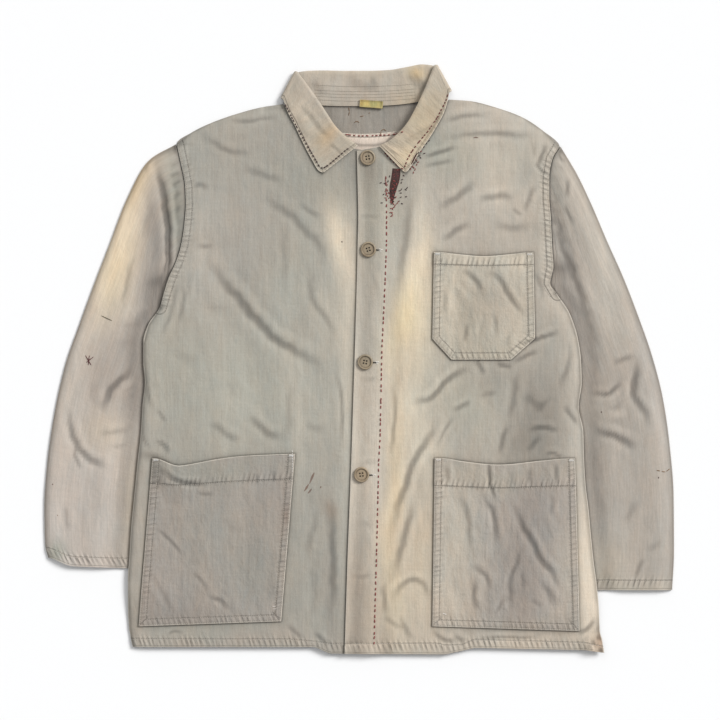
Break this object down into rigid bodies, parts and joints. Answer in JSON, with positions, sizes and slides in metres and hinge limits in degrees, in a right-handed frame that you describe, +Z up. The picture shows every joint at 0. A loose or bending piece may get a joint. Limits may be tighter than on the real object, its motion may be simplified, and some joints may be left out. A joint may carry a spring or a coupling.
{
  "type": "chore jacket",
  "caption": "Worn cotton chore jacket laid flat and buttoned, with a pointed collar, patch pockets and sleeves lying down beside and under the body.",
  "frame": {"origin": "middle of the overall box, on the surface that the jacket lies on", "axes": "+X to the wearer's left across the shoulders, +Y from the hem to the collar, +Z up from the surface"},
  "size_m": [0.8186, 0.7658, 0.0141],
  "materials": {
    "twill": "washed cotton twill, sun-faded in places",
    "collar_twill": "washed cotton twill, worn light",
    "cream_cotton": "plain cotton",
    "label": "woven tape with no lettering",
    "button": "dull moulded plastic"
  },
  "bodies": {
    "root": {"back": "twill", "front_right": "twill", "front_left": "twill", "sleeve_right": "twill", "sleeve_left": "twill", "pocket_chest": "twill", "pocket_lower_right": "twill", "pocket_lower_left": "twill", "collar": "collar_twill", "neck_patch": "cream_cotton", "neck_label": "label", "button_1": "button", "button_2": "button", "button_3": "button", "button_4": "button"}
  },
  "joints": []
}
